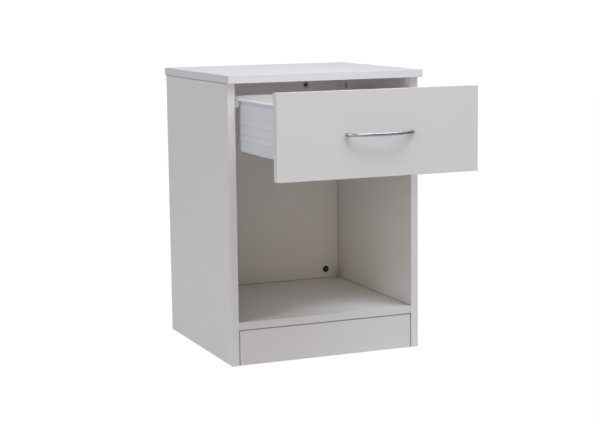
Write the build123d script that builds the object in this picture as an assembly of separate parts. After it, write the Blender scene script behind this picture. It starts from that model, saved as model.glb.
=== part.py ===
"""Bedside cabinet with one drawer over an open compartment.

A knock-down carcass of faced chipboard, held by cam locks, steel bolts and wooden dowels, and a drawer
of plastic profile that hangs by its lips on two plastic runners. Millimetres, +Z up, +X to the right
of someone who faces the front, +Y towards the wall. The origin is on the floor, at the centre of the
carcass. The drawer is drawn out to its stop.
"""

from build123d import *
import os

os.makedirs("parts", exist_ok=True)

# Carcass
WIDTH = 400.0
DEPTH = 374.0
HEIGHT = 560.0
BOARD = 15.0
TOP_SIDE_OVERHANG = 3.0
TOP_FRONT_OVERHANG = 16.0
EDGING = 0.8
EDGING_RADIUS = 0.5
PLINTH_HEIGHT = 69.5
PLINTH_SETBACK = 1.0
PLINTH_END_GAP = 0.4
SHELF_UNDERSIDE = 70.0

# Knock-down fittings: cam locks, their bolts, and wooden dowels
CAM_SETBACK = 31.0
CAM_RADIUS = 7.3
CAM_BORE_RADIUS = 7.5
CAM_LENGTH = 12.2
CAM_RECESS = 0.4
BOLT_BORE_RADIUS = 4.0
BOLT_THREAD_RADIUS = 2.95
BOLT_THREAD_LENGTH = 11.0
DOWEL_RADIUS = 3.95
DOWEL_BORE_RADIUS = 4.0
DOWEL_IN_EDGE = 20.0
DOWEL_IN_FACE = 10.0
DOWEL_CHAMFER = 0.8
SLACK = 0.5
HOLE_SLACK = 0.3
HOLE_GAP = 0.05

# Drawer
DRAWER_OPEN = 230.0
FRONT_WIDTH = 398.0
FRONT_BOTTOM = 383.0
FRONT_TOP = 540.0
BOX_LENGTH = 250.0
BOX_BOTTOM = 415.0
SIDE_TOP = 515.0
BACK_TOP = 520.0
PROFILE = 5.0
LIP_REACH = 9.0
LIP_THICKNESS = 3.6
SIDE_GAP = 13.0
PANEL_BASE = 3.0
GROOVE_DEPTH = 2.5
GROOVE_LEVEL = 8.0
BASE_CLEARANCE = 0.2
LIP_ROUND = 1.2

# Runners
RUNNER_TOP = 511.0
RUNNER_HEIGHT = 12.0
RUNNER_REACH = 10.4
RUNNER_LENGTH = 248.0
RUNNER_SETBACK = 3.0
RUNNER_WEB = 2.8
RUNNER_FLANGE = 2.4
RUNNER_CAP = 5.0

# Handle
HANDLE_LENGTH = 138.0
HANDLE_REACH = 26.0
HANDLE_BAR = 5.0
HANDLE_FOOT = 10.0
HANDLE_HEIGHT = 6.0
HANDLE_CENTRES = 128.0

# Planes that follow from them
half_width = WIDTH / 2
inner = half_width - BOARD
front = -DEPTH / 2
back = DEPTH / 2
under_top = HEIGHT - BOARD
shelf_top = SHELF_UNDERSIDE + BOARD
back_face = back - BOARD
front_inside = front - DRAWER_OPEN
front_outside = front_inside - BOARD
box_rear = front_inside + BOX_LENGTH
side_outer = inner - SIDE_GAP
side_inner = side_outer - PROFILE
handle_level = (FRONT_BOTTOM + FRONT_TOP) / 2

LEFT = -1
RIGHT = 1
UP = Vector(0, 0, 1)
DOWN = Vector(0, 0, -1)
REARWARDS = Vector(0, 1, 0)
FORWARDS = Vector(0, -1, 0)

pieces = {}
bores = {}


def block(x, y, z):
    """A rectangular block, from its two limits along each axis."""
    centre = Pos(sum(x) / 2, sum(y) / 2, sum(z) / 2)
    return centre * Box(abs(x[1] - x[0]), abs(y[1] - y[0]), abs(z[1] - z[0]))


def rod(start, direction, length, radius):
    """A round bar from a point along a direction."""
    place = Plane(origin=start, z_dir=direction)
    return place * Cylinder(radius, length, align=(Align.CENTER, Align.CENTER, Align.MIN))


def cone(start, direction, length, radius, end_radius):
    """A tapered bar from a point along a direction."""
    place = Plane(origin=start, z_dir=direction)
    return place * Cone(radius, end_radius, length, align=(Align.CENTER, Align.CENTER, Align.MIN))


def add(node, *solids):
    """Puts solids into a node, which may hold several like pieces."""
    pieces.setdefault(node, []).extend(solids)


def bore(board, start, direction, depth, radius):
    """Notes a round hole to be drilled in a board."""
    bores.setdefault(board, []).append(rod(start, direction, depth, radius))


def edge_strip(x, y, z, outward):
    """A strip of edge banding whose two long outer arrises are rounded."""
    strip = block(x, y, z)
    outer = strip.faces().sort_by(Axis((0, 0, 0), outward))[-1]
    long_edges = outer.edges().sort_by(SortBy.LENGTH)[-2:]
    return fillet(long_edges, EDGING_RADIUS)


# --- Boards of the carcass ---------------------------------------------------------------------------

top_right = half_width + TOP_SIDE_OVERHANG
top_left = -top_right
top_front = front - TOP_FRONT_OVERHANG
top_levels = (under_top, HEIGHT)
add(
    "top_panel",
    block((top_left + EDGING, top_right - EDGING), (top_front + EDGING, back - EDGING), top_levels),
)
add(
    "top_panel_edging",
    edge_strip((top_left, top_right), (top_front, top_front + EDGING), top_levels, (0, -1, 0)),
    edge_strip((top_left, top_right), (back - EDGING, back), top_levels, (0, 1, 0)),
    edge_strip((top_left, top_left + EDGING), (top_front + EDGING, back - EDGING), top_levels, (-1, 0, 0)),
    edge_strip((top_right - EDGING, top_right), (top_front + EDGING, back - EDGING), top_levels, (1, 0, 0)),
)

for side, word in ((LEFT, "left"), (RIGHT, "right")):
    thickness = (side * inner, side * half_width)
    add(f"{word}_side_panel", block(thickness, (front + EDGING, back), (0, under_top)))
    strip = edge_strip(thickness, (front, front + EDGING), (0, under_top), (0, -1, 0))
    add(f"{word}_side_panel_edging", strip)

shelf_levels = (SHELF_UNDERSIDE, shelf_top)
add("bottom_shelf", block((-inner, inner), (front + EDGING, back), shelf_levels))
add("bottom_shelf_edging", edge_strip((-inner, inner), (front, front + EDGING), shelf_levels, (0, -1, 0)))

plinth_front = front + PLINTH_SETBACK
plinth_rear = plinth_front + BOARD
plinth_half = inner - PLINTH_END_GAP
add("plinth", block((-plinth_half, plinth_half), (plinth_front, plinth_rear), (0, PLINTH_HEIGHT)))

add("back_panel", block((-inner, inner), (back_face, back), (shelf_top, under_top)))


# --- Knock-down fittings -----------------------------------------------------------------------------


CAM_PASSAGE_RADIUS = 3.5
CAM_PASSAGE_BACK = 3.4
CAM_CROSS_LENGTH = 9.6
CAM_CROSS_WIDTH = 1.5
CAM_CROSS_DEPTH = 1.8
CAM_SOCKET_RADIUS = 3.2
CAM_SOCKET_DEPTH = 3.0
BOLT_SHANK_RADIUS = 3.2
BOLT_SHANK_END = 24.5
BOLT_NECK_RADIUS = 1.7
BOLT_NECK_LENGTH = 5.0
BOLT_HEAD_RADIUS = 3.0
BOLT_HEAD_LENGTH = 3.4


def cross_recess(face, inwards, along, length, width, depth):
    """The cross that a screwdriver fits, sunk from a face."""
    place = Plane(origin=face, x_dir=along, z_dir=inwards)
    return place * (Pos(0, 0, depth / 2) * (Box(length, width, depth) + Box(width, length, depth)))


def cam_lock(mouth, out, toward):
    """A zinc cam: a drum with a cross recess in its face and a passage for the bolt's head."""
    axis = mouth - out * (BOARD / 2)
    face = mouth - out * CAM_RECESS
    drum = rod(face, -out, CAM_LENGTH, CAM_RADIUS)
    passage_length = CAM_PASSAGE_BACK + CAM_RADIUS + 1
    passage = rod(axis - toward * CAM_PASSAGE_BACK, toward, passage_length, CAM_PASSAGE_RADIUS)
    cross = cross_recess(face, -out, toward, CAM_CROSS_LENGTH, CAM_CROSS_WIDTH, CAM_CROSS_DEPTH)
    socket = rod(face, -out, CAM_SOCKET_DEPTH, CAM_SOCKET_RADIUS)
    return drum - passage - cross - socket


def cam_bolt(joint, toward):
    """A steel bolt: thread in one board, shank from the joint, then a thin neck and a head in the cam."""
    thread = rod(joint, toward, BOLT_THREAD_LENGTH, BOLT_THREAD_RADIUS)
    shank = rod(joint, -toward, BOLT_SHANK_END, BOLT_SHANK_RADIUS)
    neck_start = joint - toward * BOLT_SHANK_END
    neck = rod(neck_start, -toward, BOLT_NECK_LENGTH, BOLT_NECK_RADIUS)
    head = rod(neck_start - toward * BOLT_NECK_LENGTH, -toward, BOLT_HEAD_LENGTH, BOLT_HEAD_RADIUS)
    return thread + shank + neck + head


def cam_fixing(panel, mate, group, mouth, out, toward):
    """A cam lock in one board's face, with the bolt that it draws out of the board it meets."""
    mouth = Vector(mouth)
    joint = mouth - out * (BOARD / 2) + toward * CAM_SETBACK
    bore(panel, mouth, -out, CAM_RECESS + CAM_LENGTH + HOLE_SLACK, CAM_BORE_RADIUS)
    bore(panel, joint, -toward, CAM_SETBACK, BOLT_BORE_RADIUS)
    bore(mate, joint, toward, BOLT_THREAD_LENGTH + SLACK, BOLT_THREAD_RADIUS + HOLE_GAP)
    add(group, cam_lock(mouth, out, toward))
    add("cam_bolts", cam_bolt(joint, toward))


def dowel(panel, mate, joint, toward):
    """A beech dowel that runs from one board's edge into the face of the board it meets."""
    joint = Vector(joint)
    bore(panel, joint, -toward, DOWEL_IN_EDGE + SLACK, DOWEL_BORE_RADIUS)
    bore(mate, joint, toward, DOWEL_IN_FACE + SLACK, DOWEL_BORE_RADIUS)
    length = DOWEL_IN_EDGE + DOWEL_IN_FACE
    pin = rod(joint - toward * DOWEL_IN_EDGE, toward, length, DOWEL_RADIUS)
    ends = pin.edges().filter_by(GeomType.CIRCLE)
    add("wooden_dowels", chamfer(ends, DOWEL_CHAMFER))


shelf_mid = SHELF_UNDERSIDE + BOARD / 2
plinth_mid = (plinth_front + plinth_rear) / 2
back_mid = (back_face + back) / 2
SIDE_CAM_Y = 124.0
SIDE_DOWEL_Y = 92.0
SHELF_CAM_Y = 118.0
SHELF_DOWEL_Y = 150.0
PLINTH_CAM_LEVEL = 45.0
PLINTH_DOWEL_LEVEL = 20.0
PLINTH_TOP_DOWEL_X = 100.0
BACK_LOW_CAM_LEVEL = 104.5
BACK_TOP_CAM_X = 111.0
BACK_TOP_DOWEL_X = 79.0
BACK_DOWEL_LEVELS = (250.0, 420.0)

for side, word in ((LEFT, "left"), (RIGHT, "right")):
    panel = f"{word}_side_panel"
    outwards = Vector(side, 0, 0)
    panel_mid = side * (inner + BOARD / 2)
    cam_x = side * (inner - CAM_SETBACK)
    for y in (-SIDE_CAM_Y, SIDE_CAM_Y):
        mouth = (side * inner, y, under_top - CAM_SETBACK)
        cam_fixing(panel, "top_panel", "side_panel_cam_locks", mouth, -outwards, UP)
    for y in (-SIDE_DOWEL_Y, SIDE_DOWEL_Y):
        dowel(panel, "top_panel", (panel_mid, y, under_top), UP)
    for y in (-SHELF_CAM_Y, SHELF_CAM_Y):
        cam_fixing("bottom_shelf", panel, "shelf_cam_locks", (cam_x, y, SHELF_UNDERSIDE), DOWN, outwards)
    for y in (-SHELF_DOWEL_Y, SHELF_DOWEL_Y):
        dowel("bottom_shelf", panel, (side * inner, y, shelf_mid), outwards)
    mouth = (cam_x, plinth_rear, PLINTH_CAM_LEVEL)
    cam_fixing("plinth", panel, "plinth_cam_locks", mouth, REARWARDS, outwards)
    dowel("plinth", panel, (side * inner, plinth_mid, PLINTH_DOWEL_LEVEL), outwards)
    dowel("plinth", "bottom_shelf", (side * PLINTH_TOP_DOWEL_X, plinth_mid, SHELF_UNDERSIDE), UP)
    mouth = (cam_x, back_face, BACK_LOW_CAM_LEVEL)
    cam_fixing("back_panel", panel, "back_panel_lower_cam_locks", mouth, FORWARDS, outwards)
    mouth = (side * BACK_TOP_CAM_X, back_face, under_top - CAM_SETBACK)
    cam_fixing("back_panel", "top_panel", "back_panel_upper_cam_locks", mouth, FORWARDS, UP)
    dowel("back_panel", "top_panel", (side * BACK_TOP_DOWEL_X, back_mid, under_top), UP)
    for level in BACK_DOWEL_LEVELS:
        dowel("back_panel", panel, (side * inner, back_mid, level), outwards)


# --- Screws ------------------------------------------------------------------------------------------

SCREW_RADIUS = 1.7
SCREW_HEAD_RADIUS = 3.4
SCREW_HEAD_DEPTH = 2.1
SCREW_CROSS_LENGTH = 3.6
SCREW_CROSS_WIDTH = 0.9
SCREW_CROSS_DEPTH = 1.1


def countersunk(start, direction, length, gap=0.0):
    """A countersunk screw with its head's face at the start point, or with a gap, the hole for it."""
    head = cone(start, direction, SCREW_HEAD_DEPTH, SCREW_HEAD_RADIUS + gap, SCREW_RADIUS + gap)
    return head + rod(start, direction, length + gap, SCREW_RADIUS + gap)


def wood_screw(start, direction, length):
    """A countersunk screw with a cross recess."""
    cross = cross_recess(start, direction, UP, SCREW_CROSS_LENGTH, SCREW_CROSS_WIDTH, SCREW_CROSS_DEPTH)
    return countersunk(start, direction, length) - cross


def screw_down(node, start, direction, length, through):
    """A wood screw, with its hole in the pieces that it passes through."""
    start = Vector(start)
    direction = Vector(direction)
    add(node, wood_screw(start, direction, length))
    for piece in through:
        bores.setdefault(piece, []).append(countersunk(start, direction, length, HOLE_GAP))


# --- Runners -----------------------------------------------------------------------------------------

runner_front = front + RUNNER_SETBACK
runner_rear = runner_front + RUNNER_LENGTH
runner_bottom = RUNNER_TOP - RUNNER_HEIGHT
runner_mid = (RUNNER_TOP + runner_bottom) / 2
RUNNER_SCREW_Y = (-160.0, -60.0, 40.0)
RUNNER_SCREW_LENGTH = 13.0
RUNNER_NOSE = 2.0


def runner(side):
    """A plastic channel, open towards the drawer, with its front end closed as the drawer's stop."""
    wall = side * inner
    edge = side * (inner - RUNNER_REACH)
    run = (runner_front, runner_rear)
    web = block((wall, side * (inner - RUNNER_WEB)), run, (runner_bottom, RUNNER_TOP))
    upper = block((wall, edge), run, (RUNNER_TOP - RUNNER_FLANGE, RUNNER_TOP))
    lower = block((wall, edge), run, (runner_bottom, runner_bottom + RUNNER_FLANGE))
    cap = block((wall, edge), (runner_front, runner_front + RUNNER_CAP), (runner_bottom, RUNNER_TOP))
    channel = web + upper + lower + cap
    nose = [
        e
        for e in channel.edges().filter_by(Axis.Z)
        if abs(e.center().Y - runner_front) < 0.01 and abs(e.center().X - edge) < 0.01
    ]
    return fillet(nose, RUNNER_NOSE)


for side, word in ((LEFT, "left"), (RIGHT, "right")):
    add(f"{word}_runner", runner(side))
    for y in RUNNER_SCREW_Y:
        start = (side * (inner - RUNNER_WEB), y, runner_mid)
        through = (f"{word}_runner", f"{word}_side_panel")
        screw_down("runner_screws", start, (side, 0, 0), RUNNER_SCREW_LENGTH, through)


# --- Drawer front and its edging ---------------------------------------------------------------------

front_half = FRONT_WIDTH / 2
front_run = (front_outside, front_inside)
core_half = front_half - EDGING
panel = block((-core_half, core_half), front_run, (FRONT_BOTTOM + EDGING, FRONT_TOP - EDGING))
groove_low = BOX_BOTTOM + GROOVE_LEVEL
groove_levels = (groove_low, groove_low + PANEL_BASE + 2 * BASE_CLEARANCE)
FRONT_GROOVE_DEPTH = 5.0
base_half = side_inner + GROOVE_DEPTH - BASE_CLEARANCE
groove_half = base_half + SLACK
panel -= block((-groove_half, groove_half), (front_inside, front_inside - FRONT_GROOVE_DEPTH), groove_levels)
add("drawer_front", panel)


def front_strip(x, z, outward):
    """A strip of edge banding on the drawer front, with its two long outer arrises rounded."""
    return edge_strip(x, front_run, z, outward)


add(
    "drawer_front_edging",
    front_strip((-front_half, front_half), (FRONT_TOP - EDGING, FRONT_TOP), (0, 0, 1)),
    front_strip((-front_half, front_half), (FRONT_BOTTOM, FRONT_BOTTOM + EDGING), (0, 0, -1)),
    front_strip((-front_half, -core_half), (FRONT_BOTTOM + EDGING, FRONT_TOP - EDGING), (-1, 0, 0)),
    front_strip((core_half, front_half), (FRONT_BOTTOM + EDGING, FRONT_TOP - EDGING), (1, 0, 0)),
)


# --- Drawer box of plastic profile -------------------------------------------------------------------

# Each cove swells outwards as it goes down, and ends in a small step: its foot's level and its swell.
COVES = ((482.0, 1.4), (468.0, 2.5), (450.5, 2.8), (439.0, 2.4))


def profile(top):
    """The profile's section: inner face at zero, lip at the top, coves outside, a groove inside."""
    lip_under = top - LIP_THICKNESS
    with BuildSketch() as section:
        with BuildLine():
            Line((0, top), (PROFILE + LIP_REACH, top))
            Line((PROFILE + LIP_REACH, top), (PROFILE + LIP_REACH, lip_under))
            Line((PROFILE + LIP_REACH, lip_under), (PROFILE, lip_under))
            level = lip_under
            for foot, swell in COVES:
                TangentArc((PROFILE, level), (PROFILE + swell, foot), tangent=(0, -1))
                Line((PROFILE + swell, foot), (PROFILE, foot))
                level = foot
            Line((PROFILE, level), (PROFILE, BOX_BOTTOM))
            Line((PROFILE, BOX_BOTTOM), (0, BOX_BOTTOM))
            Line((0, BOX_BOTTOM), (0, groove_levels[0]))
            Line((0, groove_levels[0]), (GROOVE_DEPTH, groove_levels[0]))
            Line((GROOVE_DEPTH, groove_levels[0]), (GROOVE_DEPTH, groove_levels[1]))
            Line((GROOVE_DEPTH, groove_levels[1]), (0, groove_levels[1]))
            Line((0, groove_levels[1]), (0, top))
        make_face()
    return section.sketch


def profile_run(origin, outward, along, length, top):
    """A length of the profile whose lip points outwards."""
    place = Plane(origin=origin, x_dir=outward, z_dir=along)
    panel = extrude(place * profile(top), length)
    lip_edges = [
        e
        for e in panel.edges().filter_by(Axis(origin, along))
        if e.center().Z > top - LIP_THICKNESS - 0.1
        and (e.center() - Vector(origin)).dot(Vector(outward)) > PROFILE + LIP_REACH - 0.1
    ]
    return fillet(lip_edges, LIP_ROUND)


CORNER = 12.0
side_rear = box_rear - CORNER
side_length = side_rear - front_inside
back_half = side_outer - CORNER
back_inner = box_rear - PROFILE

add(
    "drawer_left_side",
    profile_run((-side_inner, front_inside, 0), (-1, 0, 0), (0, 1, 0), side_length, SIDE_TOP),
)
add(
    "drawer_right_side",
    profile_run((side_inner, side_rear, 0), (1, 0, 0), (0, -1, 0), side_length, SIDE_TOP),
)
add(
    "drawer_back",
    profile_run((-back_half, back_inner, 0), (0, 1, 0), (1, 0, 0), 2 * back_half, BACK_TOP),
)

base_run = (front_inside - FRONT_GROOVE_DEPTH + SLACK, back_inner + GROOVE_DEPTH - HOLE_SLACK)
base_low = groove_low + BASE_CLEARANCE
base = block((-base_half, base_half), base_run, (base_low, base_low + PANEL_BASE))
for side in (LEFT, RIGHT):
    corner_x = (side * (back_half - SLACK), side * (base_half + 1))
    base -= block(corner_x, (side_rear - SLACK, base_run[1] + 1), (groove_low - 1, groove_low + 5))
add("drawer_bottom", base)


# --- Rear corners, with the glides that run in the channels ------------------------------------------

GLIDE_HEIGHT = 6.0
GLIDE_LENGTH = 12.0
STOP_GAP = 0.3
FLANGE = 1.5
FLANGE_LENGTH = 15.0
FLANGE_LEVELS = (432.0, 505.0)
GLIDE_SIDE_GAP = 0.6
CAP_ROUND = 3.0


def rear_corner(side):
    """A moulded corner that joins side to back, caps both lips and carries the glide."""
    outer = side * side_outer
    inside = side * side_inner
    lip_edge = side * (side_outer + LIP_REACH)
    levels = (BOX_BOTTOM, BACK_TOP)
    side_leg = block((outer, inside), (side_rear, box_rear), levels)
    back_leg = block((outer, side * back_half), (back_inner, box_rear), levels)
    cap_levels = (SIDE_TOP - LIP_THICKNESS, BACK_TOP)
    cap = block((lip_edge, side * back_half), (side_rear, box_rear + LIP_REACH), cap_levels)
    cap = fillet(cap.edges().filter_by(Axis.Z).group_by(Axis.Y)[-1], CAP_ROUND)
    cap -= block((inside, side * (back_half - 1)), (side_rear - 1, back_inner), (BOX_BOTTOM, BACK_TOP + 1))
    glide_front = runner_front + RUNNER_CAP + STOP_GAP
    glide_tip = side * (inner - RUNNER_WEB - GLIDE_SIDE_GAP)
    glide_levels = (runner_mid - GLIDE_HEIGHT / 2, runner_mid + GLIDE_HEIGHT / 2)
    glide = block((glide_tip, outer), (glide_front, glide_front + GLIDE_LENGTH), glide_levels)
    root = block((outer, inside), (glide_front, glide_front + GLIDE_LENGTH), glide_levels)
    side_flange = block(
        (inside, inside - side * FLANGE), (side_rear - FLANGE_LENGTH, back_inner), FLANGE_LEVELS
    )
    back_flange = block(
        (inside, side * (back_half - FLANGE_LENGTH)), (back_inner - FLANGE, back_inner), FLANGE_LEVELS
    )
    return side_leg + back_leg + cap + glide + root + side_flange + back_flange


# --- Front brackets ----------------------------------------------------------------------------------

BRACKET_WALL = 2.6
BRACKET_GAP = 0.1
BRACKET_WEB = 2.4
BRACKET_SCREW_SETBACK = 13.0
BRACKET_REACH = 20.0
BRACKET_LEVELS = (432.0, 507.0)
BRACKET_SCREW_LEVELS = (448.0, 491.0)
FRONT_SCREW_LENGTH = 13.0
SIDE_SCREW_LENGTH = 6.0


def front_bracket(side):
    """A moulded angle in the corner behind the drawer front, stiffened by a web at its middle."""
    wall = side * (side_inner - BRACKET_GAP)
    far = wall - side * BRACKET_REACH
    near = wall - side * BRACKET_WALL
    run = (front_inside, front_inside + BRACKET_REACH)
    on_side = block((wall, near), run, BRACKET_LEVELS)
    on_front = block((wall, far), (front_inside, front_inside + BRACKET_WALL), BRACKET_LEVELS)
    mid = sum(BRACKET_LEVELS) / 2
    web = block((wall, far), run, (mid - BRACKET_WEB / 2, mid + BRACKET_WEB / 2))
    cut = Plane((wall, front_inside, mid)) * Pos(-side * BRACKET_REACH, BRACKET_REACH, 0)
    web -= cut * Cylinder(BRACKET_REACH - BRACKET_WALL, 10)
    return on_side + on_front + web


for side, word in ((LEFT, "left"), (RIGHT, "right")):
    add(f"drawer_{word}_rear_corner", rear_corner(side))
    bracket = f"drawer_{word}_front_bracket"
    add(bracket, front_bracket(side))
    screw_x = side * (side_inner - BRACKET_SCREW_SETBACK)
    screw_y = front_inside + BRACKET_SCREW_SETBACK
    for level in BRACKET_SCREW_LEVELS:
        start = (screw_x, front_inside + BRACKET_WALL, level)
        screw_down("bracket_screws", start, FORWARDS, FRONT_SCREW_LENGTH, (bracket, "drawer_front"))
        start = (side * (side_inner - BRACKET_GAP - BRACKET_WALL), screw_y, level)
        through = (bracket, f"drawer_{word}_side")
        screw_down("bracket_screws", start, (side, 0, 0), SIDE_SCREW_LENGTH, through)


# --- Bow handle and its screws -----------------------------------------------------------------------

HANDLE_SCREW_RADIUS = 2.0
HANDLE_SCREW_HOLD = 7.0
HANDLE_EDGE = 1.7
HANDLE_SCREW_HOLE_GAP = 0.3
HANDLE_SCREW_HEAD_RADIUS = 4.0
HANDLE_SCREW_HEAD_DEPTH = 2.6
HANDLE_SCREW_HEAD_ROUND = 1.4
HANDLE_SCREW_CROSS_LENGTH = 4.0
HANDLE_SCREW_CROSS_WIDTH = 1.0
HANDLE_SCREW_CROSS_DEPTH = 1.4


def bow_handle():
    """A bow bar: the space between two half ellipses, as high as the bar, with its arrises rounded."""
    outer = Ellipse(HANDLE_LENGTH / 2, HANDLE_REACH)
    hollow = Ellipse(HANDLE_LENGTH / 2 - HANDLE_FOOT, HANDLE_REACH - HANDLE_BAR)
    behind = Pos(0, HANDLE_REACH) * Rectangle(2 * HANDLE_LENGTH, 2 * HANDLE_REACH)
    bar = extrude(outer - hollow - behind, HANDLE_HEIGHT / 2, both=True)
    rounded = fillet(bar.edges().filter_by(GeomType.ELLIPSE), HANDLE_EDGE)
    return Pos(0, front_outside, handle_level) * rounded


add("handle", bow_handle())
for side in (LEFT, RIGHT):
    x = side * HANDLE_CENTRES / 2
    seat = Vector(x, front_inside, handle_level)
    depth = BOARD + HANDLE_SCREW_HOLD
    shank = rod(seat, FORWARDS, depth, HANDLE_SCREW_RADIUS)
    head = rod(seat, REARWARDS, HANDLE_SCREW_HEAD_DEPTH, HANDLE_SCREW_HEAD_RADIUS)
    head = fillet(head.edges().sort_by(Axis.Y)[-1], HANDLE_SCREW_HEAD_ROUND)
    cross = cross_recess(
        seat + REARWARDS * HANDLE_SCREW_HEAD_DEPTH,
        FORWARDS,
        UP,
        HANDLE_SCREW_CROSS_LENGTH,
        HANDLE_SCREW_CROSS_WIDTH,
        HANDLE_SCREW_CROSS_DEPTH,
    )
    add("handle_screws", shank + head - cross)
    bore("drawer_front", seat, FORWARDS, BOARD, HANDLE_SCREW_RADIUS + HANDLE_SCREW_HOLE_GAP)
    bore("handle", seat, FORWARDS, depth + SLACK, HANDLE_SCREW_RADIUS + HOLE_GAP)


# --- Drilling and writing ----------------------------------------------------------------------------

for node, solids in pieces.items():
    cuts = bores.get(node, [])
    drilled = []
    for solid in solids:
        for cut in cuts:
            solid = solid - cut
        drilled.extend(solid.solids())
    shape = drilled[0] if len(drilled) == 1 else Compound(children=drilled)
    shape.label = node
    export_step(shape, f"parts/{node}.step")

print(len(pieces), "nodes")
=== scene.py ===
"""Looks of the bedside cabinet: finishes for its boards, fittings and drawer, and the studio round it."""

import math

import bpy
import numpy as np
from mathutils import Matrix, Vector


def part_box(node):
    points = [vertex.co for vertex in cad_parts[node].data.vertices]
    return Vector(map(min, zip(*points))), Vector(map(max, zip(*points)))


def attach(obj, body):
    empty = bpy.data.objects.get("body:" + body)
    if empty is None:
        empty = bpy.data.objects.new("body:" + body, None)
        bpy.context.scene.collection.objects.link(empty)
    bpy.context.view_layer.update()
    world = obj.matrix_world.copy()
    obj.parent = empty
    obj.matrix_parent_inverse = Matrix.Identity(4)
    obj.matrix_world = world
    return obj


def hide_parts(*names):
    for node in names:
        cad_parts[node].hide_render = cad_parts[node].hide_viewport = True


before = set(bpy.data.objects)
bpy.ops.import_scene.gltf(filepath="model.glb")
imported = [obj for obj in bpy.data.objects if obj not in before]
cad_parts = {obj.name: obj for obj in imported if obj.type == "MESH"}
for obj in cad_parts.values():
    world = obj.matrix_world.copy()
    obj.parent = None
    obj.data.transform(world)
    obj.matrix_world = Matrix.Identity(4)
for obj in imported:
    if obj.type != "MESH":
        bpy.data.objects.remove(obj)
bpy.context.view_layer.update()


# === Faced boards ====================================================================================
# Top, sides, shelf, back, plinth and drawer front: chipboard 15 mm thick between two sheets of white
# melamine paper with a fine pearl. Where a board is cut or drilled, the chips show, fine near the faces
# and coarse in the middle. Dowels, bolts and cams join the boards. Shade is painted where the boards
# meet and in the compartment's corners, and the paper of some boards is painted lighter or darker.

AXES = {"X": 0, "Y": 1, "Z": 2}

# Paper: thickness, size of its pearl's grain and of a cloud of handling, roughness where clean and where
# handled, strength and depth of its bump, and how much the pearl and handling dim its white.
PAPER = 0.00028
PAPER_GRAIN = 0.0011
PAPER_CLOUD = 0.16
PAPER_ROUGH = (0.40, 0.50)
PEARL_ROUGHER = 0.05
PEARL_BUMP = (0.22, 0.0002)
PEARL_DIM = 0.985
HANDLED_DIM = 0.97
HANDLED_SHARE = 0.35
MELAMINE = (0.880, 0.864, 0.835)

# Chipboard: chips to the metre, coarse and fine, how they are bent, how much rougher they are than the
# paper, the strength and depth of their bump, and the share of cells that are gaps.
CHIPS_COARSE = 420.0
CHIPS_FINE = 1100.0
CHIP_WAVES = 260.0
CHIP_BEND = 0.0018
CHIP_ROUGHER = 0.42
CHIP_BUMP = (0.7, 0.0006)
CHIP_GAPS = 0.16
CHIP_PALE = (0.60, 0.46, 0.29)
CHIP_MID = (0.44, 0.31, 0.18)
CHIP_DARK = (0.20, 0.13, 0.07)

# Half the width of the glue's hairline along an edge, and painted shade along a seam between two boards:
# where it is full, where it ends and how dark it is.
GLUE_LINE = 0.00012
GLUE = (0.47, 0.43, 0.37)
SEAM_FULL = 0.0004
SEAM_END = 0.0030
SEAM_SHADE = 0.75

# Painted shade in the compartment, darkest in its inner corners: its colour, a dark line in a joint,
# where it is full and where it ends, the haze beside it and the patch in a corner, with how far they
# reach. All fade out upwards, from half of the last height to all of it.
PAINTED_SHADE = (0.10, 0.085, 0.07)
PAINTED_SHADE_LINE = 0.55
PAINTED_SHADE_FULL = 0.0003
PAINTED_SHADE_END = 0.0030
PAINTED_SHADE_HAZE = 0.16
PAINTED_SHADE_SPREAD = 0.030
PAINTED_SHADE_DEEP = 0.55
PAINTED_SHADE_CORNER = 0.016
PAINTED_SHADE_TOP = 0.45
inner_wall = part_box("right_side_panel")[0][0]
back_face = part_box("back_panel")[0][1]
shelf_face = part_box("bottom_shelf")[1][2]


def new_finish(name):
    """A material with its node tree, its Principled BSDF and the object's own coordinates."""
    material = bpy.data.materials.new(name)
    material.use_nodes = True
    tree = material.node_tree
    shader = tree.nodes["Principled BSDF"]
    place = tree.nodes.new("ShaderNodeTexCoord")
    return material, tree, shader, place.outputs["Object"]


def fill(tree, socket, value):
    """Gives an input its value: a link where the value is a socket, or else a number or colour."""
    if isinstance(value, bpy.types.NodeSocket):
        tree.links.new(value, socket)
    else:
        socket.default_value = value


def put(tree, kind, values=(), **options):
    """A node of that kind: values maps its inputs to numbers or to sockets that feed them."""
    node = tree.nodes.new(kind)
    for key, value in options.items():
        setattr(node, key, value)
    for key, value in dict(values).items():
        fill(tree, node.inputs[key], value)
    return node


def maths(tree, operation, a, b=0.5, c=0.5):
    """One step of arithmetic, which gives its result's socket."""
    return put(tree, "ShaderNodeMath", {0: a, 1: b, 2: c}, operation=operation).outputs[0]


def times(tree, a, b):
    """The product of two values."""
    return maths(tree, "MULTIPLY", a, b)


def weighed(tree, a, b, share):
    """Two values added, a by its share and b by the rest."""
    return maths(tree, "MULTIPLY_ADD", a, share, times(tree, b, 1.0 - share))


def gap(tree, a, b):
    """How far apart two values are."""
    return maths(tree, "ABSOLUTE", maths(tree, "SUBTRACT", a, b))


def rgba(colour):
    """A colour as four numbers, or the socket that it already is."""
    return colour if isinstance(colour, bpy.types.NodeSocket) else (*colour, 1.0)


def dimmed(colour, factor):
    """A colour with each of its numbers times a factor."""
    return tuple(factor * part for part in colour)


def blended(tree, share, low, high):
    """A colour between two colours, by a share."""
    node = put(tree, "ShaderNodeMix", data_type="RGBA")
    share_socket, low_socket, high_socket = (node.inputs[i] for i in (0, 6, 7))
    fill(tree, share_socket, share)
    fill(tree, low_socket, rgba(low))
    fill(tree, high_socket, rgba(high))
    return node.outputs[2]


def ranged(tree, value, low, high, to_low, to_high, smooth=False):
    """A value carried from one range to another and held inside it."""
    kind = "SMOOTHSTEP" if smooth else "LINEAR"
    values = {"Value": value, "From Min": low, "From Max": high, "To Min": to_low, "To Max": to_high}
    return put(tree, "ShaderNodeMapRange", values, interpolation_type=kind).outputs[0]


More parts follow.
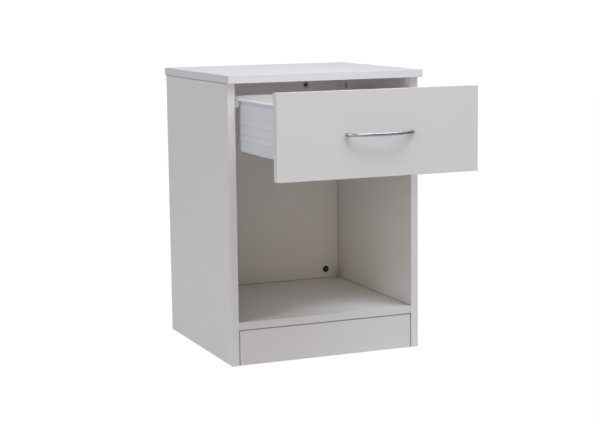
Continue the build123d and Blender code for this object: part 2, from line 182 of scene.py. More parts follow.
def noise(tree, vector, scale, detail, **more):
    """Soft noise, with scale waves to the metre and detail steps of finer noise on it."""
    values = {"Vector": vector, "Scale": scale, "Detail": detail, **more}
    return put(tree, "ShaderNodeTexNoise", values).outputs[0]


def split(tree, vector):
    """The X, Y and Z of coordinates."""
    return put(tree, "ShaderNodeSeparateXYZ", {0: vector}).outputs


def new_group(name, inputs, outputs):
    """A shader node group: inputs as name: (type, default), outputs as name: type."""
    tree = bpy.data.node_groups.new(name, "ShaderNodeTree")
    for key, (kind, default) in inputs.items():
        socket = tree.interface.new_socket(key, in_out="INPUT", socket_type=kind)
        if default is not None:
            socket.default_value = default
    for key, kind in outputs.items():
        tree.interface.new_socket(key, in_out="OUTPUT", socket_type=kind)
    into = tree.nodes.new("NodeGroupInput")
    out = tree.nodes.new("NodeGroupOutput")
    return tree, into.outputs, out.inputs


def use_group(tree, group, values):
    """A group placed in a material with its own values, which gives its outputs."""
    node = tree.nodes.new("ShaderNodeGroup")
    node.node_tree = group
    for key, value in values.items():
        fill(tree, node.inputs[key], value)
    return node.outputs


COARSE_SCALE = 0.25
COARSE_SHARE = 0.6


def pearl_group():
    """Fine pearl: noise of the given grain, with a softer noise four times as coarse under it."""
    inputs = {"Vector": ("NodeSocketVector", None), "Grain": ("NodeSocketFloat", 0.001)}
    tree, into, out = new_group("pearl", inputs, {"Height": "NodeSocketFloat", "Tone": "NodeSocketFloat"})
    scale = maths(tree, "DIVIDE", 1.0, into["Grain"])
    fine = noise(tree, into["Vector"], scale, 3.0)
    coarse = noise(tree, into["Vector"], times(tree, scale, COARSE_SCALE), 2.0)
    height = weighed(tree, coarse, fine, COARSE_SHARE)
    fill(tree, out["Height"], height)
    fill(tree, out["Tone"], ranged(tree, height, 0.35, 0.65, 0.0, 1.0))
    return tree


WIPE_TURN = (0.3, 0.5, 0.2)
WIPE_STRETCH = (1.0, 1.3, 7.0)
WIPE_SCALE = 1.8
CLOUD_SHARE = 0.65


def handling_group():
    """Where hands and cloths have been: broad soft clouds, broken by long faint wipes."""
    inputs = {"Vector": ("NodeSocketVector", None), "Size": ("NodeSocketFloat", 0.12)}
    tree, into, out = new_group("handling", inputs, {"Mask": "NodeSocketFloat"})
    scale = maths(tree, "DIVIDE", 1.0, into["Size"])
    clouds = noise(tree, into["Vector"], scale, 4.0)
    turned = {"Vector": into["Vector"], "Rotation": WIPE_TURN, "Scale": WIPE_STRETCH}
    wiped = put(tree, "ShaderNodeMapping", turned).outputs[0]
    wipes = noise(tree, wiped, times(tree, scale, WIPE_SCALE), 5.0, Roughness=0.6)
    both = weighed(tree, clouds, wipes, CLOUD_SHARE)
    fill(tree, out["Mask"], ranged(tree, both, 0.38, 0.62, 0.0, 1.0, smooth=True))
    return tree


def chipboard_group():
    """Sawn chipboard: cells of chip, bent by a noise. A cell's tone is a random number, from the fine cells
    near a face and from the coarse ones in the middle; the lowest numbers are gaps between chips."""
    inputs = {"Vector": ("NodeSocketVector", None), "Depth": ("NodeSocketFloat", 0.5)}
    outputs = {"Color": "NodeSocketColor", "Height": "NodeSocketFloat"}
    tree, into, out = new_group("chipboard", inputs, outputs)
    waves = {"Vector": into["Vector"], "Scale": CHIP_WAVES, "Detail": 2.0}
    warp = put(tree, "ShaderNodeTexNoise", waves).outputs["Color"]
    moved = {0: warp, 1: (CHIP_BEND, CHIP_BEND, CHIP_BEND), 2: into["Vector"]}
    bent = put(tree, "ShaderNodeVectorMath", moved, operation="MULTIPLY_ADD").outputs[0]
    coarse = put(tree, "ShaderNodeTexVoronoi", {"Vector": bent, "Scale": CHIPS_COARSE})
    fine = put(tree, "ShaderNodeTexVoronoi", {"Vector": bent, "Scale": CHIPS_FINE})
    middle = ranged(tree, into["Depth"], 0.15, 0.35, 0.0, 1.0, smooth=True)
    pick_coarse = put(tree, "ShaderNodeSeparateColor", {"Color": coarse.outputs["Color"]}).outputs[0]
    pick_fine = put(tree, "ShaderNodeSeparateColor", {"Color": fine.outputs["Color"]}).outputs[0]
    step = maths(tree, "SUBTRACT", pick_coarse, pick_fine)
    pick = maths(tree, "MULTIPLY_ADD", step, middle, pick_fine)
    pale = blended(tree, ranged(tree, pick, 0.25, 0.8, 0.0, 1.0), CHIP_MID, CHIP_PALE)
    gaps = ranged(tree, pick, 0.0, CHIP_GAPS, 1.0, 0.0)
    fill(tree, out["Color"], blended(tree, gaps, pale, CHIP_DARK))
    fill(tree, out["Height"], maths(tree, "SUBTRACT", pick, coarse.outputs["Distance"]))
    return tree


def faded(tree, distance, reach, strength):
    """A strength that falls off with distance: strength times e to the power of minus distance / reach."""
    return times(tree, maths(tree, "EXPONENT", times(tree, distance, -1.0 / reach)), strength)


def painted_shade_group():
    """Painted shade in the compartment's inner corners. The distance to the nearest joint is the
    middle one of the distances to the side, the back and the shelf; the distance to a corner, the largest."""
    tree, into, out = new_group("painted_shade", {"Vector": ("NodeSocketVector", None)}, {"Mask": "NodeSocketFloat"})
    x, y, z = split(tree, into["Vector"])
    off_middle = maths(tree, "ABSOLUTE", x)
    to_side = gap(tree, inner_wall, off_middle)
    to_back = gap(tree, back_face, y)
    to_shelf = gap(tree, z, shelf_face)
    small = maths(tree, "MINIMUM", to_side, to_back)
    large = maths(tree, "MAXIMUM", to_side, to_back)
    middle = maths(tree, "MAXIMUM", small, maths(tree, "MINIMUM", large, to_shelf))
    largest = maths(tree, "MAXIMUM", large, to_shelf)
    line = ranged(tree, middle, PAINTED_SHADE_FULL, PAINTED_SHADE_END, PAINTED_SHADE_LINE, 0.0, smooth=True)
    haze = faded(tree, middle, PAINTED_SHADE_SPREAD, PAINTED_SHADE_HAZE)
    deep = faded(tree, largest, PAINTED_SHADE_CORNER, PAINTED_SHADE_DEEP)
    dirt = maths(tree, "MAXIMUM", maths(tree, "ADD", haze, deep), line)
    inside = maths(tree, "LESS_THAN", off_middle, inner_wall + PAPER)
    ahead = maths(tree, "LESS_THAN", y, back_face + PAPER)
    over = maths(tree, "GREATER_THAN", z, shelf_face - PAPER)
    low_down = ranged(tree, z, PAINTED_SHADE_TOP / 2, PAINTED_SHADE_TOP, 1.0, 0.0, smooth=True)
    here = times(tree, times(tree, inside, ahead), times(tree, over, low_down))
    fill(tree, out["Mask"], times(tree, dirt, here))
    return tree


pearl = pearl_group()
handling = handling_group()
chipboard = chipboard_group()
painted_shade = painted_shade_group()


def bump(tree, height, size, under=None):
    """A bump on the surface, or on the bump under it: size gives its strength and its depth in metres."""
    values = {"Height": height, "Strength": size[0], "Distance": size[1]}
    if under is not None:
        values["Normal"] = under
    return put(tree, "ShaderNodeBump", values).outputs[0]


def dress(tree, shader, colour, rough, normal):
    """Feeds a shader its colour, its roughness and its bumped normal."""
    fill(tree, shader.inputs["Base Color"], colour)
    fill(tree, shader.inputs["Roughness"], rough)
    fill(tree, shader.inputs["Normal"], normal)


def faced_board(node, axis, banded, seams, painted_light_scale):
    """Melamine where the coordinate across the board is within a paper's thickness of a face, chipboard
    between. banded lists the edges, as an axis and -1 or 1, that end at edge banding, seams those that
    meet another board, where shade is painted. The last argument paints the paper of one board lighter
    or darker: painted light on the shelf, painted shade on the plinth and the drawer front."""
    low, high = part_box(node)
    thin = AXES[axis]
    material, tree, shader, place = new_finish(f"faced_board_{node}")
    along = split(tree, place)
    across = along[thin]
    above = maths(tree, "GREATER_THAN", across, low[thin] + PAPER)
    below = maths(tree, "LESS_THAN", across, high[thin] - PAPER)
    core = times(tree, above, below)
    middle = (low[thin] + high[thin]) / 2
    half = (high[thin] - low[thin]) / 2
    depth = maths(tree, "SUBTRACT", 1.0, maths(tree, "DIVIDE", gap(tree, across, middle), half))
    chips = use_group(tree, chipboard, {"Vector": place, "Depth": depth})
    paper = use_group(tree, pearl, {"Vector": place, "Grain": PAPER_GRAIN})
    touched = use_group(tree, handling, {"Vector": place, "Size": PAPER_CLOUD})["Mask"]
    # Painted shade for the compartment's inner corners and joints.
    corner_shade_mask = use_group(tree, painted_shade, {"Vector": place})["Mask"]

    # Painted light and shade: this board's paper made lighter or darker.
    white = dimmed(MELAMINE, painted_light_scale)
    tone = blended(tree, paper["Tone"], dimmed(white, PEARL_DIM), white)
    tone = blended(tree, times(tree, touched, HANDLED_SHARE), tone, dimmed(white, HANDLED_DIM))
    tone = blended(tree, corner_shade_mask, tone, PAINTED_SHADE)
    # Painted shade along the seams, under the top's overhang and under the shelf.
    for edge_axis, sign in seams:
        i = AXES[edge_axis]
        away = gap(tree, along[i], (high if sign > 0 else low)[i])
        seam = ranged(tree, away, SEAM_FULL, SEAM_END, SEAM_SHADE, 0.0, smooth=True)
        tone = blended(tree, seam, tone, PAINTED_SHADE)
    for edge_axis, sign in banded:
        i = AXES[edge_axis]
        line = maths(tree, "COMPARE", along[i], (high if sign > 0 else low)[i], GLUE_LINE)
        tone = blended(tree, line, tone, GLUE)
    colour = blended(tree, core, tone, chips["Color"])

    worn = ranged(tree, touched, 0.0, 1.0, *PAPER_ROUGH)
    fine = maths(tree, "MULTIPLY_ADD", paper["Tone"], PEARL_ROUGHER, worn)
    rough = maths(tree, "MULTIPLY_ADD", core, CHIP_ROUGHER, fine)
    shader.inputs["Specular IOR Level"].default_value = 0.5
    pearl_bump = bump(tree, paper["Height"], PEARL_BUMP)
    chip_bump = bump(tree, times(tree, chips["Height"], core), CHIP_BUMP, pearl_bump)
    dress(tree, shader, colour, rough, chip_bump)
    return material


def coat(node, material):
    """Gives a carried-over node its finish, on all of its material slots."""
    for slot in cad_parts[node].material_slots:
        slot.material = material


FRONT = (("Y", -1),)
TOP_EDGE = (("Z", 1),)
ENDS = (("X", -1), ("X", 1))
LYING_ALL_ROUND = (*ENDS, ("Y", -1), ("Y", 1))
STANDING_ALL_ROUND = (*ENDS, ("Z", -1), ("Z", 1))

# Each board: the axis across it, its banded edges, its seams with painted shade, and the factor that
# paints its paper: painted light above 1, painted shade below.
BOARDS = {
    "top_panel": ("Z", LYING_ALL_ROUND, (), 1.0),
    "left_side_panel": ("X", FRONT, TOP_EDGE, 1.0),
    "right_side_panel": ("X", FRONT, TOP_EDGE, 1.0),
    "bottom_shelf": ("Z", FRONT, (), 1.06),
    "back_panel": ("Y", (), TOP_EDGE, 1.0),
    "plinth": ("Y", (), (*TOP_EDGE, *ENDS), 0.885),
    "drawer_front": ("Y", STANDING_ALL_ROUND, (), 0.895),
}
for board, facts in BOARDS.items():
    coat(board, faced_board(board, *facts))


# === Edge banding ====================================================================================
# Strips 0.8 mm thick, white plastic, melted on with glue along the edges that show and trimmed flush,
# their arrises scraped round. A little smoother than the paper, with faint chatter from the scraper.

# Grain and clouds are in metres, the scraper's chatter in marks to the metre across and along them.
# Roughness is given where the strip is clean and where it is handled.
BANDING = (0.840, 0.828, 0.820)
TOP_BANDING = (0.830, 0.825, 0.840)
# The shelf's strip is darker than the others: painted shade, for the shade under the drawer.
SHELF_BANDING_SHADED = (0.770, 0.760, 0.740)
BANDING_GRAIN = 0.0007
BANDING_CLOUD = 0.10
BANDING_ROUGH = (0.34, 0.45)
BANDING_BUMP = (0.15, 0.0002)
BANDING_DIM = 0.98
BANDING_HANDLED_DIM = 0.96
BANDING_HANDLED_SHARE = 0.3
CHATTER = 420.0
CHATTER_WIDE = 60.0
CHATTER_SHARE = 0.6


def stretched(tree, vector, scale):
    """Coordinates times a scale for each axis."""
    return put(tree, "ShaderNodeMapping", {"Vector": vector, "Scale": tuple(scale)}).outputs[0]


def banding_finish(name, along, white):
    """White plastic strip whose scraper marks run across its length."""
    material, tree, shader, place = new_finish(name)
    scale = [CHATTER_WIDE, CHATTER_WIDE, CHATTER_WIDE]
    scale[AXES[along]] = CHATTER
    chatter = noise(tree, stretched(tree, place, scale), 1.0, 3.0)
    grain = use_group(tree, pearl, {"Vector": place, "Grain": BANDING_GRAIN})
    touched = use_group(tree, handling, {"Vector": place, "Size": BANDING_CLOUD})["Mask"]
    tone = blended(tree, grain["Tone"], dimmed(white, BANDING_DIM), white)
    handled = times(tree, touched, BANDING_HANDLED_SHARE)
    tone = blended(tree, handled, tone, dimmed(white, BANDING_HANDLED_DIM))
    rough = ranged(tree, touched, 0.0, 1.0, *BANDING_ROUGH)
    height = weighed(tree, chatter, grain["Height"], CHATTER_SHARE)
    dress(tree, shader, tone, rough, bump(tree, height, BANDING_BUMP))
    return material


upright_banding = banding_finish("edge_banding_upright", "Z", BANDING)
coat("left_side_panel_edging", upright_banding)
coat("right_side_panel_edging", upright_banding)
coat("drawer_front_edging", banding_finish("edge_banding_crosswise", "X", BANDING))
coat("bottom_shelf_edging", banding_finish("edge_banding_shelf", "X", SHELF_BANDING_SHADED))
coat("top_panel_edging", banding_finish("edge_banding_top", "X", TOP_BANDING))


# === Drawer box ======================================================================================
# Sides and back: one section of white plastic, extruded, its lip and coves running the whole length, with
# the die's fine lines along it. The base: hardboard 3 mm thick, lacquered white above, with the brown
# screen pattern of its pressing below.

# Die lines and fibres are in waves to the metre, the screen's wires in radians to the metre. Roughness is
# given for clean and handled profile, and for bare and lacquered hardboard.
# The back's white is lighter and warmer than the sides', though it is the same plastic: painted light, for
# the lit inside of the drawer.
SIDE_WHITE = (0.835, 0.840, 0.880)
BACK_WHITE_LIT = (0.930, 0.925, 0.895)
DIE_LINES = 700.0
DIE_LINES_WIDE = 60.0
DIE_LINES_LONG = 6.0
PROFILE_CLOUD = 0.07
PROFILE_ROUGH = (0.30, 0.33)
PROFILE_BUMP = (0.05, 0.0001)
PROFILE_DIM = 0.97
LACQUER = (0.91, 0.90, 0.87)
LACQUER_DEPTH = 0.0002
LACQUER_GRAIN = 0.0014
LACQUER_DIM = 0.97
LACQUER_HEIGHT = 0.3
HARDBOARD = (0.33, 0.21, 0.12)
HARDBOARD_ROUGH = (0.85, 0.42)
HARDBOARD_BUMP = (0.4, 0.0003)
FIBRES = 900.0
FIBRE_TONES = (0.6, 1.5)
SCREEN = 3300.0
SCREEN_HEIGHT = 0.5


def extruded_finish(name, along, white):
    """White plastic with fine lines along the way it was extruded."""
    material, tree, shader, place = new_finish(name)
    scale = [DIE_LINES_WIDE, DIE_LINES_WIDE, DIE_LINES]
    scale[AXES[along]] = DIE_LINES_LONG
    lines = noise(tree, stretched(tree, place, scale), 1.0, 4.0)
    touched = use_group(tree, handling, {"Vector": place, "Size": PROFILE_CLOUD})["Mask"]
    tone = blended(tree, lines, dimmed(white, PROFILE_DIM), white)
    rough = ranged(tree, touched, 0.0, 1.0, *PROFILE_ROUGH)
    dress(tree, shader, tone, rough, bump(tree, lines, PROFILE_BUMP))
    return material


def hardboard_finish():
    """White lacquer on the upper face; elsewhere brown fibre, with the mesh of the pressing screen in it as
    the sine of X times the sine of Y."""
    material, tree, shader, place = new_finish("coated_hardboard")
    upper_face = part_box("drawer_bottom")[1][2]
    x, y, z = split(tree, place)
    lacquered = maths(tree, "GREATER_THAN", z, upper_face - LACQUER_DEPTH)
    fibre = noise(tree, place, FIBRES, 5.0, Roughness=0.7)
    wires = [maths(tree, "SINE", times(tree, way, SCREEN)) for way in (x, y)]
    grain = use_group(tree, pearl, {"Vector": place, "Grain": LACQUER_GRAIN})
    brown = blended(tree, fibre, *(dimmed(HARDBOARD, tone) for tone in FIBRE_TONES))
    white = blended(tree, grain["Tone"], dimmed(LACQUER, LACQUER_DIM), LACQUER)
    colour = blended(tree, lacquered, brown, white)
    rough = ranged(tree, lacquered, 0.0, 1.0, *HARDBOARD_ROUGH)
    rough_side = maths(tree, "MULTIPLY_ADD", times(tree, *wires), SCREEN_HEIGHT, fibre)
    bare = maths(tree, "SUBTRACT", 1.0, lacquered)
    height = maths(tree, "MULTIPLY_ADD", rough_side, bare, times(tree, grain["Height"], LACQUER_HEIGHT))
    dress(tree, shader, colour, rough, bump(tree, height, HARDBOARD_BUMP))
    return material


side_profile = extruded_finish("drawer_profile_sides", "Y", SIDE_WHITE)
coat("drawer_left_side", side_profile)
coat("drawer_right_side", side_profile)
coat("drawer_back", extruded_finish("drawer_profile_back", "X", BACK_WHITE_LIT))
coat("drawer_bottom", hardboard_finish())


# === Moulded corners, brackets and runners ===========================================================
# The drawer's rear corners and front brackets are white injection mouldings; the runners that they hang
# in are cream. All have the fine spark texture of their mould, and are pushed or screwed in place.

MOULDED_WHITE = (0.86, 0.86, 0.86)
CREAM = (0.80, 0.785, 0.72)
WHITE_SPARK = 0.0006
CREAM_SPARK = 0.0005
MOULDED_CLOUD = 0.03
MOULDED_ROUGH = (0.36, 0.44)
MOULDED_BUMP = (0.25, 0.0001)
MOULDED_DIM = 0.95
SPARK_ROUGHER = 0.12
SPARK_HEIGHT = 0.5


def moulded_finish(name, colour, spark_size):
    """Satin plastic with the mould's spark texture and slightly cloudy gloss."""
    material, tree, shader, place = new_finish(name)
    spark = put(tree, "ShaderNodeTexVoronoi", {"Vector": place, "Scale": 1.0 / spark_size})
    grain = use_group(tree, pearl, {"Vector": place, "Grain": spark_size})
    touched = use_group(tree, handling, {"Vector": place, "Size": MOULDED_CLOUD})["Mask"]
    tone = blended(tree, touched, colour, dimmed(colour, MOULDED_DIM))
    cloudy = ranged(tree, touched, 0.0, 1.0, *MOULDED_ROUGH)
    rough = maths(tree, "MULTIPLY_ADD", grain["Tone"], SPARK_ROUGHER, cloudy)
    height = maths(tree, "MULTIPLY_ADD", spark.outputs["Distance"], SPARK_HEIGHT, grain["Height"])
    dress(tree, shader, tone, rough, bump(tree, height, MOULDED_BUMP))
    return material


white_moulding = moulded_finish("moulded_plastic", MOULDED_WHITE, WHITE_SPARK)
cream_moulding = moulded_finish("runner_plastic", CREAM, CREAM_SPARK)
for side in ("left", "right"):
    coat(f"drawer_{side}_rear_corner", white_moulding)
    coat(f"drawer_{side}_front_bracket", white_moulding)
    coat(f"{side}_runner", cream_moulding)


# === Cam locks =======================================================================================
# Die-cast zinc drums 15 mm across with a cross slot, dropped into their bores and turned to draw the
# joint up. The lower pair in the back is coloured near black; the rest is left as cast, grey and slightly
# mottled, and the upper pair in the back has painted shade, near black, in its sockets.

ZINC = (0.66, 0.66, 0.67)
ZINC_DULL = (0.42, 0.42, 0.43)
ZINC_METAL = 0.5
ZINC_ROUGH = (0.32, 0.50)
NEAR_BLACK = (0.030, 0.030, 0.032)
NEAR_BLACK_WORN = (0.075, 0.073, 0.070)
NEAR_BLACK_METAL = 0.4
NEAR_BLACK_ROUGH = (0.40, 0.60)
MOTTLE = 0.006
SAND = 0.0004
SAND_ROUGHER = 0.08
SAND_BUMP = (0.5, 0.0002)

# Painted shade in a socket: its colour, how much of the zinc it covers, and the radii where it is full and
# where it ends.
SOCKET_SHADE = (0.02, 0.018, 0.016)
SOCKET_SHADE_COVER = 0.95
SOCKET_FULL = 0.0030
SOCKET_END = 0.0042


def cast_finish(name, bright, dull, metallic, roughness, sockets=()):
    """Cast metal: mottled between two tones, rougher where it is duller, with a fine sandy skin. sockets
    lists the centres, as X and Z, of drums that face the front and get painted shade in their socket."""
    material, tree, shader, place = new_finish(name)
    mottle = use_group(tree, handling, {"Vector": place, "Size": MOTTLE})["Mask"]
    sand = use_group(tree, pearl, {"Vector": place, "Grain": SAND})
    tone = blended(tree, mottle, bright, dull)
    # Painted shade in each socket.
    for centre_x, centre_z in sockets:
        x, _, z = split(tree, place)
        across = maths(tree, "SUBTRACT", x, centre_x)
        up = maths(tree, "SUBTRACT", z, centre_z)
        from_centre = maths(tree, "SQRT", maths(tree, "MULTIPLY_ADD", across, across, times(tree, up, up)))
        socket_shade_share = ranged(tree, from_centre, SOCKET_FULL, SOCKET_END, SOCKET_SHADE_COVER, 0.0, smooth=True)
        tone = blended(tree, socket_shade_share, tone, SOCKET_SHADE)
    shader.inputs["Metallic"].default_value = metallic
    mottled = ranged(tree, mottle, 0.0, 1.0, *roughness)
    rough = maths(tree, "MULTIPLY_ADD", sand["Tone"], SAND_ROUGHER, mottled)
    dress(tree, shader, tone, rough, bump(tree, sand["Height"], SAND_BUMP))
    return material


as_cast = cast_finish("bright_zinc", ZINC, ZINC_DULL, ZINC_METAL, ZINC_ROUGH)
for group in ("side_panel", "shelf", "plinth"):
    coat(f"{group}_cam_locks", as_cast)

low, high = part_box("back_panel_upper_cam_locks")
drum_level = (low[2] + high[2]) / 2
drum_radius = (high[2] - low[2]) / 2
upper_sockets = ((low[0] + drum_radius, drum_level), (high[0] - drum_radius, drum_level))
# Painted shade in the sockets of the upper pair in the back.
zinc_with_shaded_sockets = cast_finish("bright_zinc_sockets", ZINC, ZINC_DULL, ZINC_METAL, ZINC_ROUGH, upper_sockets)
coat("back_panel_upper_cam_locks", zinc_with_shaded_sockets)
# The lower pair in the back, coloured near black.
near_black_cams = cast_finish("black_zinc", NEAR_BLACK, NEAR_BLACK_WORN, NEAR_BLACK_METAL, NEAR_BLACK_ROUGH)
coat("back_panel_lower_cam_locks", near_black_cams)


# === Screws, bolts and dowels ========================================================================
# Zinc-plated steel screws and cam bolts, turned and passivated to a bluish tint, and fluted beech dowels
# glued half into each board. Most of them are inside the boards.

PLATED = (0.60, 0.61, 0.64)
PLATED_WARM = (0.62, 0.60, 0.52)
PLATED_ROUGH = (0.24, 0.36)
BEECH_PALE = (0.66, 0.48, 0.31)
BEECH_DARK = (0.50, 0.33, 0.19)
BEECH_ROUGH = (0.55, 0.75)
BEECH_BUMP = (0.3, 0.0002)
BEECH_GRAIN = 160.0
BEECH_RAYS = 420.0
BEECH_RAY_SIZE = 0.18
BEECH_RAY_SHARE = 0.5
ACROSS_GRAIN = (1.0, 6.0, 6.0)

plated = cast_finish("plated_steel", PLATED, PLATED_WARM, 1.0, PLATED_ROUGH)
for group in ("cam_bolts", "runner_screws", "bracket_screws", "handle_screws"):
    coat(group, plated)


def beech_finish():
    """Straight fine grain with the short dark rays of beech."""
    material, tree, shader, place = new_finish("beech")
    long_grain = stretched(tree, place, ACROSS_GRAIN)
    rings = noise(tree, long_grain, BEECH_GRAIN, 4.0, Distortion=0.4)
    rays = put(tree, "ShaderNodeTexVoronoi", {"Vector": long_grain, "Scale": BEECH_RAYS})
    colour = blended(tree, rings, BEECH_DARK, BEECH_PALE)
    ray = ranged(tree, rays.outputs["Distance"], 0.0, BEECH_RAY_SIZE, BEECH_RAY_SHARE, 0.0)
    colour = blended(tree, ray, colour, BEECH_DARK)
    rough = ranged(tree, rings, 0.3, 0.7, *BEECH_ROUGH)
    dress(tree, shader, colour, rough, bump(tree, rings, BEECH_BUMP))
    return material


coat("wooden_dowels", beech_finish())


# === Handle ==========================================================================================
# A zinc bow, 138 mm long on 128 mm screw centres, cast, brushed along its length and satin chrome plated.
# Two screws through the drawer front hold it by its feet.

CHROME = (0.50, 0.505, 0.53)
CHROME_ROUGH = (0.16, 0.26)
CHROME_BUMP = (0.10, 0.0001)
CHROME_DIM = 0.92
CHROME_CLOUD = 0.02
BRUSHING = (40.0, 2600.0, 2600.0)
BRUSHED_ROUGHER = 0.10

# The bow: half its length, how far it stands out, its depth in the middle and at the feet, its height in
# the middle and at the feet, how near the feet it grows, and how square its section is.
HALF_LENGTH = 0.069
REACH = 0.026
BAR = 0.005
FOOT = 0.010
BAR_HEIGHT = 0.006
FOOT_HEIGHT = 0.0072
FLARE = 0.006
SQUARENESS = 0.85
STEPS_ALONG = 120
STEPS_AROUND = 40


def chrome_finish():
    """Satin chrome: metal with brushing along X in its gloss and bump, and a few duller spots."""
    material, tree, shader, place = new_finish("satin_chrome")
    lines = noise(tree, stretched(tree, place, BRUSHING), 1.0, 4.0)
    touched = use_group(tree, handling, {"Vector": place, "Size": CHROME_CLOUD})["Mask"]
    tone = blended(tree, lines, dimmed(CHROME, CHROME_DIM), CHROME)
    shader.inputs["Metallic"].default_value = 1.0
    spots = ranged(tree, touched, 0.0, 1.0, *CHROME_ROUGH)
    rough = maths(tree, "MULTIPLY_ADD", lines, BRUSHED_ROUGHER, spots)
    dress(tree, shader, tone, rough, bump(tree, lines, CHROME_BUMP))
    return material


def signed_power(values, exponent):
    """Values raised to a power with their signs kept."""
    return np.sign(values) * np.abs(values) ** exponent


def bow():
    """The bow. Its outer and inner lines are half ellipses; at the angle a on them, the section is a
    superellipse from one line to the other across, and BAR_HEIGHT high, growing to FOOT_HEIGHT where the
    bow is within FLARE of the drawer front: cos and sin of b to the power SQUARENESS, for b round the bar."""
    low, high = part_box("handle")
    level = (low[2] + high[2]) / 2
    face = high[1]
    a = np.linspace(0.0, np.pi, STEPS_ALONG)[:, None]
    b = np.linspace(0.0, 2.0 * np.pi, STEPS_AROUND, endpoint=False)[None, :]
    outer = np.stack([HALF_LENGTH * np.cos(a), -REACH * np.sin(a)], -1)
    inner = np.stack([(HALF_LENGTH - FOOT) * np.cos(a), -(REACH - BAR) * np.sin(a)], -1)
    across = signed_power(np.cos(b), SQUARENESS)[..., None]
    flat = (outer + inner) / 2 + across * (outer - inner) / 2
    flare = np.exp(-((REACH * np.sin(a) / FLARE) ** 2))
    half = (BAR_HEIGHT + (FOOT_HEIGHT - BAR_HEIGHT) * flare) / 2
    rise = half * signed_power(np.sin(b), SQUARENESS)
    points = np.stack([flat[..., 0], flat[..., 1] + face, rise + level], -1).reshape(-1, 3)
    ring = (np.arange(STEPS_ALONG - 1)[:, None] * STEPS_AROUND).repeat(STEPS_AROUND, 1)
    here = np.broadcast_to(np.arange(STEPS_AROUND), ring.shape)
    after = (here + 1) % STEPS_AROUND
    next_ring = ring + STEPS_AROUND
    quads = np.stack([ring + here, ring + after, next_ring + after, next_ring + here], -1).reshape(-1, 4)
    first_cap = list(range(STEPS_AROUND))[::-1]
    last_cap = list(range((STEPS_ALONG - 1) * STEPS_AROUND, STEPS_ALONG * STEPS_AROUND))
    mesh = bpy.data.meshes.new("bow_handle")
    mesh.from_pydata(points.tolist(), [], quads.tolist() + [first_cap, last_cap])
    mesh.polygons.foreach_set("use_smooth", np.ones(len(mesh.polygons), bool))
    mesh.validate()
    piece = bpy.data.objects.new("bow_handle", mesh)
    bpy.context.scene.collection.objects.link(piece)
    return piece


satin_chrome = chrome_finish()
coat("handle", satin_chrome)
bow_handle = bow()
bow_handle.data.materials.append(satin_chrome)
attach(bow_handle, "drawer")
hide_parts("handle")


# === Camera, floor and light =========================================================================
# A long lens, 0.7 m up and to the left of the cabinet's front. The floor is white and glows round the
# cabinet's feet, painted light that lights the cabinet from below; a wide soft box hangs overhead and a
# small one in front, with a soft key light from high on the left and broad faint light from the walls.

CAMERA_PLACE = (-1.17449, -2.88632, 0.70959)
CAMERA_AZIMUTH = -22.523
CAMERA_ELEVATION = 8.232
CAMERA_ROLL = -0.712
LENS = 91.49
SENSOR = 36.0

lens = bpy.data.cameras.new("camera")
lens.lens = LENS
lens.sensor_fit = "HORIZONTAL"
lens.sensor_width = SENSOR
camera = bpy.data.objects.new("camera", lens)
bpy.context.scene.collection.objects.link(camera)
turn = (
    Matrix.Rotation(math.radians(CAMERA_AZIMUTH), 4, "Z")
    @ Matrix.Rotation(math.radians(90.0 - CAMERA_ELEVATION), 4, "X")
    @ Matrix.Rotation(math.radians(CAMERA_ROLL), 4, "Z")
)
camera.matrix_world = Matrix.Translation(CAMERA_PLACE) @ turn
bpy.context.scene.camera = camera

# The floor: its size, how many lines its grid has each way, and how far it lies under the feet. It glows
# with painted light, fully within POOL of the middle, and by the share POOL_FAR from POOL_EDGE on. Of what
# the camera sees of it, the share FLOOR_GLOW is the plain white of the walls, which is BACKDROP times white.
FLOOR_SIZE = 12.0
FLOOR_LINES = 9
FLOOR_DROP = 0.0005
FLOOR_TONE = (0.30, 0.30, 0.30)
FLOOR_DIM = 0.98
FLOOR_ROUGH = 0.9
FLOOR_CLOUDS = 3.0
FLOOR_EMISSION = (0.380, 0.344, 0.370)
FLOOR_GLOW = 0.97
POOL = 0.8
POOL_EDGE = 3.0
POOL_FAR = 0.1
BACKDROP = 1.03
WHITE = (1.0, 1.0, 1.0)


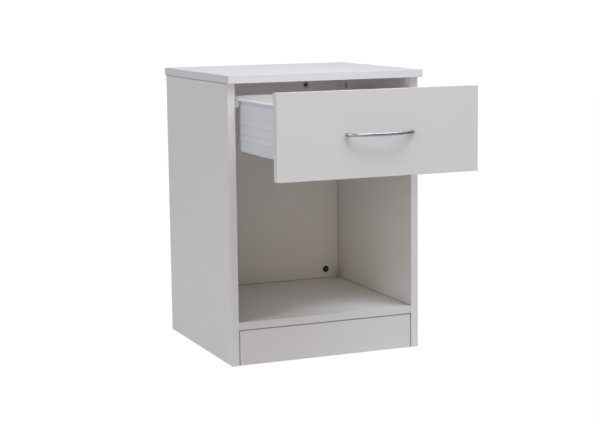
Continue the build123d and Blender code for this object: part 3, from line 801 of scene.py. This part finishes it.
def studio_floor():
    """A square grid on the floor's plane, just under the feet."""
    line = np.linspace(-FLOOR_SIZE / 2, FLOOR_SIZE / 2, FLOOR_LINES)
    x, y = np.meshgrid(line, line, indexing="ij")
    points = np.stack([x, y, np.full_like(x, -FLOOR_DROP)], -1).reshape(-1, 3)
    cells = np.arange(FLOOR_LINES - 1)
    first = (cells[:, None] * FLOOR_LINES + cells).ravel()
    quads = np.stack([first, first + FLOOR_LINES, first + FLOOR_LINES + 1, first + 1], -1)
    mesh = bpy.data.meshes.new("studio_floor")
    mesh.from_pydata(points.tolist(), [], quads.tolist())
    piece = bpy.data.objects.new("studio_floor", mesh)
    bpy.context.scene.collection.objects.link(piece)
    material, tree, shader, place = new_finish("studio_floor")
    clouds = noise(tree, place, FLOOR_CLOUDS, 3.0)
    tone = blended(tree, clouds, FLOOR_TONE, dimmed(FLOOR_TONE, FLOOR_DIM))
    fill(tree, shader.inputs["Base Color"], tone)
    shader.inputs["Roughness"].default_value = FLOOR_ROUGH
    shader.inputs["Specular IOR Level"].default_value = 0.0
    glow = put(tree, "ShaderNodeEmission", {"Color": rgba(WHITE), "Strength": BACKDROP})
    # Painted light: the floor's own glow in a pool round the feet, which lights the cabinet.
    away = put(tree, "ShaderNodeVectorMath", {0: place}, operation="LENGTH").outputs["Value"]
    glow_pool = ranged(tree, away, POOL, POOL_EDGE, 1.0, POOL_FAR, smooth=True)
    lit = put(tree, "ShaderNodeEmission", {"Color": rgba(FLOOR_EMISSION), "Strength": glow_pool})
    both = put(tree, "ShaderNodeAddShader", {0: shader.outputs[0], 1: lit.outputs[0]})
    share = times(tree, put(tree, "ShaderNodeLightPath").outputs["Is Camera Ray"], FLOOR_GLOW)
    seen = put(tree, "ShaderNodeMixShader", {0: share, 1: both.outputs[0], 2: glow.outputs[0]})
    fill(tree, tree.nodes["Material Output"].inputs["Surface"], seen.outputs[0])
    mesh.materials.append(material)


studio_floor()

# Each broad light: the direction that it comes from, how narrow it is, and its colour times its strength.
BROAD_LIGHTS = (
    ((0.0, 1.0, 0.1), 3.0, (0.35, 0.35, 0.35)),
    ((-0.35, 0.9, 0.35), 12.0, (0.80, 0.80, 0.80)),
    ((0.6, -0.8, 0.8), 20.0, (0.23, 0.61, 0.16)),
    ((-0.35, -1.0, 0.1), 20.0, (1.83, 1.64, 1.41)),
    ((-0.9, -0.6, 0.1), 20.0, (2.20, 2.09, 1.99)),
    ((0.7, -0.3, 0.8), 20.0, (0.89, 0.56, 0.68)),
    ((0.7, -0.7, 1.4), 20.0, (4.29, 4.30, 5.55)),
)


def studio_walls():
    """Light from all round: a sum of soft lobes, each the cosine to its direction raised to a power. The
    camera sees plain white instead."""
    world = bpy.data.worlds.new("studio")
    world.use_nodes = True
    bpy.context.scene.world = world
    tree = world.node_tree
    way = put(tree, "ShaderNodeTexCoord").outputs["Generated"]
    total = (0.0, 0.0, 0.0)
    for direction, power, colour in BROAD_LIGHTS:
        facing = {0: way, 1: Vector(direction).normalized()}
        cosine = put(tree, "ShaderNodeVectorMath", facing, operation="DOT_PRODUCT").outputs["Value"]
        lobe = maths(tree, "POWER", maths(tree, "MAXIMUM", cosine, 0.0), power)
        lit = put(tree, "ShaderNodeVectorMath", {0: colour, "Scale": lobe}, operation="SCALE").outputs[0]
        total = put(tree, "ShaderNodeVectorMath", {0: total, 1: lit}, operation="ADD").outputs[0]
    shader = tree.nodes["Background"]
    fill(tree, shader.inputs["Color"], total)
    white = put(tree, "ShaderNodeBackground", {"Color": rgba(WHITE), "Strength": BACKDROP})
    direct = put(tree, "ShaderNodeLightPath").outputs["Is Camera Ray"]
    seen = put(tree, "ShaderNodeMixShader", {0: direct, 1: shader.outputs[0], 2: white.outputs[0]})
    fill(tree, tree.nodes["World Output"].inputs["Surface"], seen.outputs[0])


studio_walls()


def new_light(name, kind, colour, back, place=(0.0, 0.0, 0.0)):
    """A light at a place, with its back to a direction; its strength is in its colour."""
    light = bpy.data.lights.new(name, kind)
    light.energy = 1.0
    light.color = colour
    piece = bpy.data.objects.new(name, light)
    bpy.context.scene.collection.objects.link(piece)
    facing = Vector(back).to_track_quat("Z", "Y").to_matrix().to_4x4()
    piece.matrix_world = Matrix.Translation(place) @ facing
    return piece


# Each soft box: its place, the point that it faces, the length of its side, and its colour times its power.
SOFT_BOXES = {
    "box_overhead": ((0.0, -0.15, 1.35), (0.0, -0.1, 0.5), 0.9, (2.30, 2.29, 2.40)),
    "box_front_top": ((0.0, -0.96, 1.42), (0.0, -0.43, 0.46), 0.35, (2.60, 2.60, 2.60)),
}
for name, (place, aim, side, colour) in SOFT_BOXES.items():
    box = new_light(name, "AREA", colour, Vector(place) - Vector(aim), place)
    box.data.shape = "SQUARE"
    box.data.size = side
    box.visible_camera = False

# The key light: the direction that it comes from, the angle that it fills in degrees, and its colour.
KEY_DIRECTION = (-0.72, -0.285, 0.655)
KEY_ANGLE = 15.0
KEY_COLOUR = (0.45, 0.53, 0.60)
key = new_light("key_left_high", "SUN", KEY_COLOUR, KEY_DIRECTION)
key.data.angle = math.radians(KEY_ANGLE)

bpy.context.scene.view_settings.view_transform = "Standard"
